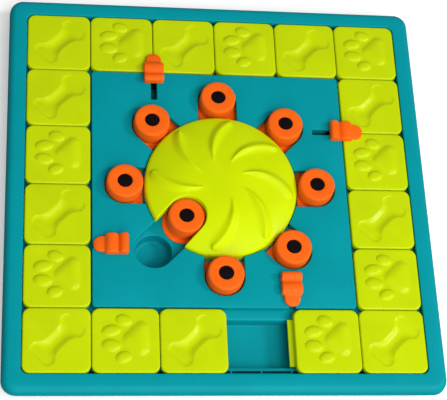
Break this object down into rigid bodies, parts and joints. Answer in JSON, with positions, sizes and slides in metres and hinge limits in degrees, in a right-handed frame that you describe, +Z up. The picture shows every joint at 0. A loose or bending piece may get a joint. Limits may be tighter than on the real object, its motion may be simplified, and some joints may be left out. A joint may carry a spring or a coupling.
{
  "type": "dog puzzle feeder toy",
  "caption": "Square dog puzzle board: sliding tiles ride a treat trough round a raised deck with knob sliders over wells, a notched swirl wheel and tile locks.",
  "frame": {"origin": "on the ground, under the middle of the square tray", "axes": "+X to the right and +Y to the back of the board as pictured, +Z up out of the deck"},
  "size_m": [0.3856, 0.3856, 0.0474],
  "materials": {
    "teal_plastic": "satin",
    "lime_plastic": "satin",
    "orange_plastic": "satin",
    "black_plastic": "satin",
    "rubber": "matte",
    "steel": "satin"
  },
  "bodies": {
    "tray": {"base_pan": "teal_plastic", "foot_pads": "rubber", "base_screws": "steel", "deck_screws": "steel", "track_tray": "teal_plastic", "well_tray": "teal_plastic", "top_frame": "teal_plastic", "centre_deck": "teal_plastic"},
    "wheel": {"wheel": "lime_plastic", "wheel_washer": "steel", "wheel_screw": "steel"},
    "slider_1": {"slider_1": "orange_plastic", "knob_plug_1": "black_plastic"},
    "slider_2": {"slider_2": "orange_plastic", "knob_plug_2": "black_plastic"},
    "slider_3": {"slider_3": "orange_plastic", "knob_plug_3": "black_plastic"},
    "slider_4": {"slider_4": "orange_plastic", "knob_plug_4": "black_plastic"},
    "slider_5": {"slider_5": "orange_plastic", "knob_plug_5": "black_plastic"},
    "slider_6": {"slider_6": "orange_plastic", "knob_plug_6": "black_plastic"},
    "slider_7": {"slider_7": "orange_plastic", "knob_plug_7": "black_plastic"},
    "slider_8": {"slider_8": "orange_plastic", "knob_plug_8": "black_plastic"},
    "lock_right": {"lock_right": "orange_plastic", "lock_clip_right": "black_plastic"},
    "lock_back": {"lock_back": "orange_plastic", "lock_clip_back": "black_plastic"},
    "lock_left": {"lock_left": "orange_plastic", "lock_clip_left": "black_plastic"},
    "lock_front": {"lock_front": "orange_plastic", "lock_clip_front": "black_plastic"},
    "tile_1": {"tile_1": "lime_plastic"},
    "tile_2": {"tile_2": "lime_plastic"},
    "tile_3": {"tile_3": "lime_plastic"},
    "tile_4": {"tile_4": "lime_plastic"},
    "tile_5": {"tile_5": "lime_plastic"},
    "tile_6": {"tile_6": "lime_plastic"},
    "tile_7": {"tile_7": "lime_plastic"},
    "tile_8": {"tile_8": "lime_plastic"},
    "tile_9": {"tile_9": "lime_plastic"},
    "tile_10": {"tile_10": "lime_plastic"},
    "tile_11": {"tile_11": "lime_plastic"},
    "tile_12": {"tile_12": "lime_plastic"},
    "tile_13": {"tile_13": "lime_plastic"},
    "tile_14": {"tile_14": "lime_plastic"},
    "tile_15": {"tile_15": "lime_plastic"},
    "tile_16": {"tile_16": "lime_plastic"},
    "tile_17": {"tile_17": "lime_plastic"},
    "tile_18": {"tile_18": "lime_plastic"},
    "tile_19": {"tile_19": "lime_plastic"}
  },
  "joints": [
    {"name": "wheel_turn", "type": "hinge", "parent": "tray", "child": "wheel", "pos_m": [0, 0, 0.0228], "axis": [0, 0, 1], "range_deg": [0, 315]},
    {"name": "slider_1_slide", "type": "slide", "parent": "tray", "child": "slider_1", "axis": [-1, 0, 0], "range_m": [0, 0.0009]},
    {"name": "slider_2_slide", "type": "slide", "parent": "tray", "child": "slider_2", "axis": [-0.7071, -0.7071, 0], "range_m": [0, 0.0009]},
    {"name": "slider_3_slide", "type": "slide", "parent": "tray", "child": "slider_3", "axis": [0, -1, 0], "range_m": [0, 0.0009]},
    {"name": "slider_4_slide", "type": "slide", "parent": "tray", "child": "slider_4", "axis": [0.7071, -0.7071, 0], "range_m": [0, 0.0009]},
    {"name": "slider_5_slide", "type": "slide", "parent": "tray", "child": "slider_5", "axis": [1, 0, 0], "range_m": [0, 0.0009]},
    {"name": "slider_6_slide", "type": "slide", "parent": "wheel", "child": "slider_6", "axis": [0.7071, 0.7071, 0], "range_m": [-0.0405, 0]},
    {"name": "slider_7_slide", "type": "slide", "parent": "tray", "child": "slider_7", "axis": [0, 1, 0], "range_m": [0, 0.0009]},
    {"name": "slider_8_slide", "type": "slide", "parent": "tray", "child": "slider_8", "axis": [-0.7071, 0.7071, 0], "range_m": [0, 0.0009]},
    {"name": "lock_right_slide", "type": "slide", "parent": "tray", "child": "lock_right", "axis": [1, 0, 0], "range_m": [-0.0205, 0]},
    {"name": "lock_back_slide", "type": "slide", "parent": "tray", "child": "lock_back", "axis": [0, 1, 0], "range_m": [-0.0205, 0]},
    {"name": "lock_left_slide", "type": "slide", "parent": "tray", "child": "lock_left", "axis": [-1, 0, 0], "range_m": [0, 0.0205]},
    {"name": "lock_front_slide", "type": "slide", "parent": "tray", "child": "lock_front", "axis": [0, -1, 0], "range_m": [0, 0.0205]},
    {"name": "tile_1_slide", "type": "slide", "parent": "tray", "child": "tile_1", "axis": [1, 0, 0], "range_m": [-0.0003, 0.0003]},
    {"name": "tile_2_slide", "type": "slide", "parent": "tray", "child": "tile_2", "axis": [1, 0, 0], "range_m": [-0.0003, 0.0003]},
    {"name": "tile_3_slide", "type": "slide", "parent": "tray", "child": "tile_3", "axis": [1, 0, 0], "range_m": [-0.0003, 0.0003]},
    {"name": "tile_4_slide", "type": "slide", "parent": "tray", "child": "tile_4", "axis": [1, 0, 0], "range_m": [-0.0003, 0.0003]},
    {"name": "tile_5_slide", "type": "slide", "parent": "tray", "child": "tile_5", "axis": [1, 0, 0], "range_m": [-0.0003, 0.0003]},
    {"name": "tile_6_slide", "type": "slide", "parent": "tray", "child": "tile_6", "axis": [1, 0, 0], "range_m": [-0.0003, 0.0003]},
    {"name": "tile_7_slide", "type": "slide", "parent": "tray", "child": "tile_7", "axis": [0, 1, 0], "range_m": [-0.0003, 0.0003]},
    {"name": "tile_8_slide", "type": "slide", "parent": "tray", "child": "tile_8", "axis": [0, 1, 0], "range_m": [-0.0003, 0.0003]},
    {"name": "tile_9_slide", "type": "slide", "parent": "tray", "child": "tile_9", "axis": [0, 1, 0], "range_m": [-0.0003, 0.0003]},
    {"name": "tile_10_slide", "type": "slide", "parent": "tray", "child": "tile_10", "axis": [0, 1, 0], "range_m": [-0.0003, 0.0003]},
    {"name": "tile_11_slide", "type": "slide", "parent": "tray", "child": "tile_11", "axis": [1, 0, 0], "range_m": [-0.0586, 0]},
    {"name": "tile_12_slide", "type": "slide", "parent": "tray", "child": "tile_12", "axis": [1, 0, 0], "range_m": [-0.0586, 0]},
    {"name": "tile_13_slide", "type": "slide", "parent": "tray", "child": "tile_13", "axis": [1, 0, 0], "range_m": [0, 0.0586]},
    {"name": "tile_14_slide", "type": "slide", "parent": "tray", "child": "tile_14", "axis": [1, 0, 0], "range_m": [0, 0.0586]},
    {"name": "tile_15_slide", "type": "slide", "parent": "tray", "child": "tile_15", "axis": [1, 0, 0], "range_m": [0, 0.0586]},
    {"name": "tile_16_slide", "type": "slide", "parent": "tray", "child": "tile_16", "axis": [0, 1, 0], "range_m": [-0.0003, 0.0003]},
    {"name": "tile_17_slide", "type": "slide", "parent": "tray", "child": "tile_17", "axis": [0, 1, 0], "range_m": [-0.0003, 0.0003]},
    {"name": "tile_18_slide", "type": "slide", "parent": "tray", "child": "tile_18", "axis": [0, 1, 0], "range_m": [-0.0003, 0.0003]},
    {"name": "tile_19_slide", "type": "slide", "parent": "tray", "child": "tile_19", "axis": [0, 1, 0], "range_m": [-0.0003, 0.0003]}
  ],
  "couplings": [
    {"joint": "tile_11_slide", "follows": "tile_12_slide", "ratio": 1},
    {"joint": "tile_14_slide", "follows": "tile_13_slide", "ratio": 1},
    {"joint": "tile_15_slide", "follows": "tile_13_slide", "ratio": 1}
  ]
}
